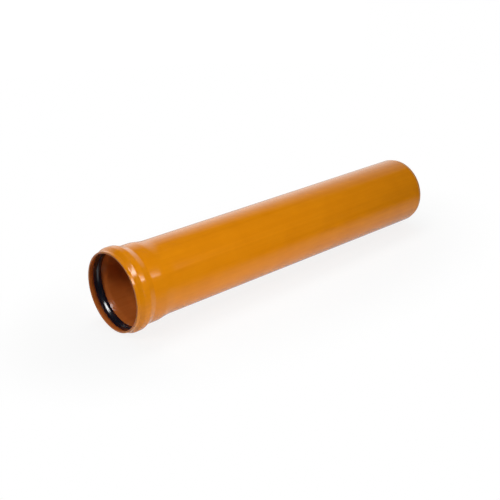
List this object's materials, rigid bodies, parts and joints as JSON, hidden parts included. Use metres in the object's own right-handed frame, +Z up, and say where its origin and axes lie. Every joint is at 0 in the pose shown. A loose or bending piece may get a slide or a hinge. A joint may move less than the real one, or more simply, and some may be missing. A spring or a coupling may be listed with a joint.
{
  "type": "pvc pipe",
  "caption": "Orange-brown PVC drain pipe with a belled socket, a rubber sealing ring in the socket's groove and a tapered spigot end that pushes into the next pipe.",
  "frame": {"origin": "middle of the space the pipe covers, on the ground it lies on", "axes": "+X along the pipe from the socket's mouth towards the spigot, +Z up; the pipe's own axis falls 0.693 degrees towards the spigot, because the pipe lies on the crest of its bead and on its spigot end"},
  "size_m": [1.1136, 0.2256, 0.2259],
  "materials": {
    "pvc": "satin",
    "seal_rubber": "satin"
  },
  "bodies": {
    "root": {"pipe": "pvc", "sealing_ring": "seal_rubber"}
  },
  "joints": []
}
